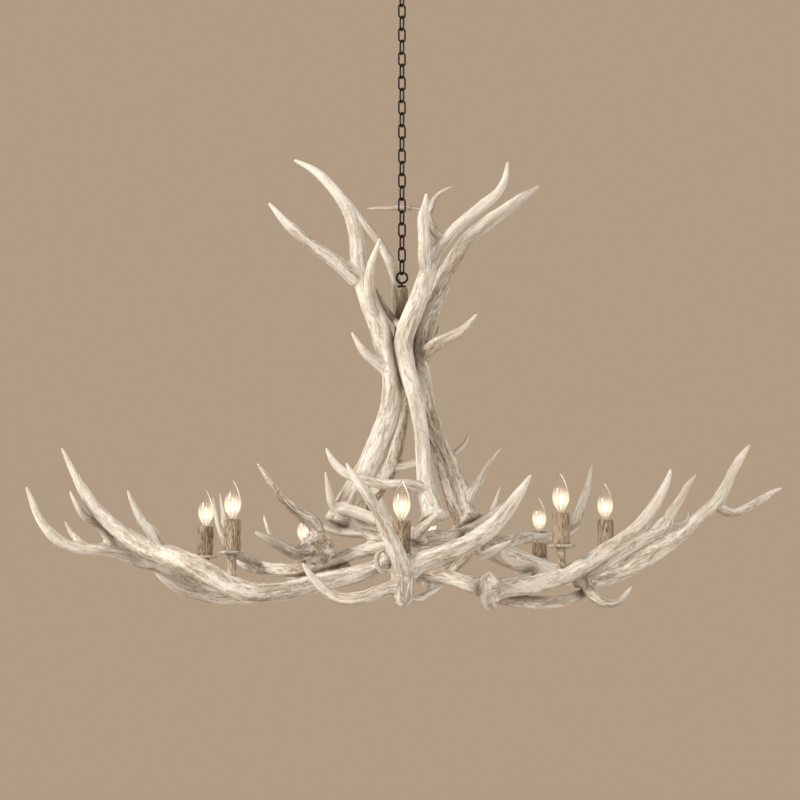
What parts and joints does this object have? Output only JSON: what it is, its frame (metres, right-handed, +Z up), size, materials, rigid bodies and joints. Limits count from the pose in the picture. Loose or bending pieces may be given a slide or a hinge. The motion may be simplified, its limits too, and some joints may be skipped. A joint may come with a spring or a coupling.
{
  "type": "antler chandelier",
  "caption": "Rustic chandelier of intertwined cast antlers with candle-style lights, hung on a chain from a ceiling canopy.",
  "frame": {"origin": "middle of the canopy's rim, in the ceiling plane and on the chain's axis", "axes": "+Z up, -Y towards the viewer of the picture, +X to that viewer's right"},
  "size_m": [1.5151, 0.9558, 1.3661],
  "materials": {
    "antler": "cast resin antler, sun-bleached cream with grey-brown grooves",
    "candle_sleeve": "cast resin, ridged like bark, brown-grey",
    "burr_pan": "cast resin, knobbly burr",
    "stem": "cast resin antler",
    "socket": "moulded, dark",
    "dark_bronze": "oil-rubbed dark bronze, satin",
    "plated_steel": "zinc plated",
    "bulb_cap": "bright, screw thread",
    "bulb_glass": "clear torpedo bulb with a glowing filament"
  },
  "bodies": {
    "ceiling_set": {"crossbar": "plated_steel", "nipple": "plated_steel", "lock_nut": "plated_steel", "canopy": "dark_bronze", "canopy_loop": "dark_bronze"},
    "chain_1": {"chain_1": "dark_bronze"},
    "chain_2": {"chain_2": "dark_bronze"},
    "chain_3": {"chain_3": "dark_bronze"},
    "chain_4": {"chain_4": "dark_bronze"},
    "chain_5": {"chain_5": "dark_bronze"},
    "chain_6": {"chain_6": "dark_bronze"},
    "antler_frame": {"centre_post": "antler", "hanging_eye": "dark_bronze", "upright_front_left": "antler", "upright_front": "antler", "upright_right": "antler", "upright_back_left": "antler", "upright_back_right": "antler", "ring_centre": "antler", "ring_back": "antler", "ring_front": "antler", "ring_left_front": "antler", "ring_back_left": "antler", "ring_left": "antler", "ring_mid_left": "antler", "ring_low_right": "antler", "ring_right_front": "antler", "ring_right": "antler", "ring_mid_right": "antler", "ring_back_right": "antler", "candle_sleeve_1": "candle_sleeve", "candle_sleeve_2": "candle_sleeve", "candle_sleeve_3": "candle_sleeve", "candle_sleeve_4": "candle_sleeve", "candle_sleeve_5": "candle_sleeve", "candle_sleeve_6": "candle_sleeve", "candle_sleeve_7": "candle_sleeve", "candle_sleeve_8": "candle_sleeve", "drip_pans": "burr_pan", "candle_stems": "stem", "candle_sockets": "socket"},
    "bulb_1": {"bulb_cap_1": "bulb_cap", "bulb_glass_1": "bulb_glass"},
    "bulb_2": {"bulb_cap_2": "bulb_cap", "bulb_glass_2": "bulb_glass"},
    "bulb_3": {"bulb_cap_3": "bulb_cap", "bulb_glass_3": "bulb_glass"},
    "bulb_4": {"bulb_cap_4": "bulb_cap", "bulb_glass_4": "bulb_glass"},
    "bulb_5": {"bulb_cap_5": "bulb_cap", "bulb_glass_5": "bulb_glass"},
    "bulb_6": {"bulb_cap_6": "bulb_cap", "bulb_glass_6": "bulb_glass"},
    "bulb_7": {"bulb_cap_7": "bulb_cap", "bulb_glass_7": "bulb_glass"},
    "bulb_8": {"bulb_cap_8": "bulb_cap", "bulb_glass_8": "bulb_glass"}
  },
  "joints": [
    {"name": "chain_swing_1", "type": "hinge", "parent": "ceiling_set", "child": "chain_1", "pos_m": [0, 0, -0.0586], "axis": [1, 0, 0], "range_deg": [-5, 5]},
    {"name": "chain_swing_2", "type": "hinge", "parent": "chain_1", "child": "chain_2", "pos_m": [0, 0, -0.1667], "axis": [0, 1, 0], "range_deg": [-5, 5]},
    {"name": "chain_swing_3", "type": "hinge", "parent": "chain_2", "child": "chain_3", "pos_m": [0, 0, -0.2666], "axis": [1, 0, 0], "range_deg": [-5, 5]},
    {"name": "chain_swing_4", "type": "hinge", "parent": "chain_3", "child": "chain_4", "pos_m": [0, 0, -0.3747], "axis": [0, 1, 0], "range_deg": [-5, 5]},
    {"name": "chain_swing_5", "type": "hinge", "parent": "chain_4", "child": "chain_5", "pos_m": [0, 0, -0.4746], "axis": [1, 0, 0], "range_deg": [-5, 5]},
    {"name": "chain_swing_6", "type": "hinge", "parent": "chain_5", "child": "chain_6", "pos_m": [0, 0, -0.5827], "axis": [0, 1, 0], "range_deg": [-5, 5]},
    {"name": "chain_swing_7", "type": "hinge", "parent": "chain_6", "child": "antler_frame", "pos_m": [0, 0, -0.6823], "axis": [1, 0, 0], "range_deg": [-5, 5]},
    {"name": "bulb_lift_1", "type": "slide", "parent": "antler_frame", "child": "bulb_1", "axis": [0, 0, 1], "range_m": [0, 0.025]},
    {"name": "bulb_lift_2", "type": "slide", "parent": "antler_frame", "child": "bulb_2", "axis": [0, 0, 1], "range_m": [0, 0.025]},
    {"name": "bulb_lift_3", "type": "slide", "parent": "antler_frame", "child": "bulb_3", "axis": [0, 0, 1], "range_m": [0, 0.025]},
    {"name": "bulb_lift_4", "type": "slide", "parent": "antler_frame", "child": "bulb_4", "axis": [0, 0, 1], "range_m": [0, 0.025]},
    {"name": "bulb_lift_5", "type": "slide", "parent": "antler_frame", "child": "bulb_5", "axis": [0, 0, 1], "range_m": [0, 0.025]},
    {"name": "bulb_lift_6", "type": "slide", "parent": "antler_frame", "child": "bulb_6", "axis": [0, 0, 1], "range_m": [0, 0.025]},
    {"name": "bulb_lift_7", "type": "slide", "parent": "antler_frame", "child": "bulb_7", "axis": [0, 0, 1], "range_m": [0, 0.025]},
    {"name": "bulb_lift_8", "type": "slide", "parent": "antler_frame", "child": "bulb_8", "axis": [0, 0, 1], "range_m": [0, 0.025]}
  ]
}
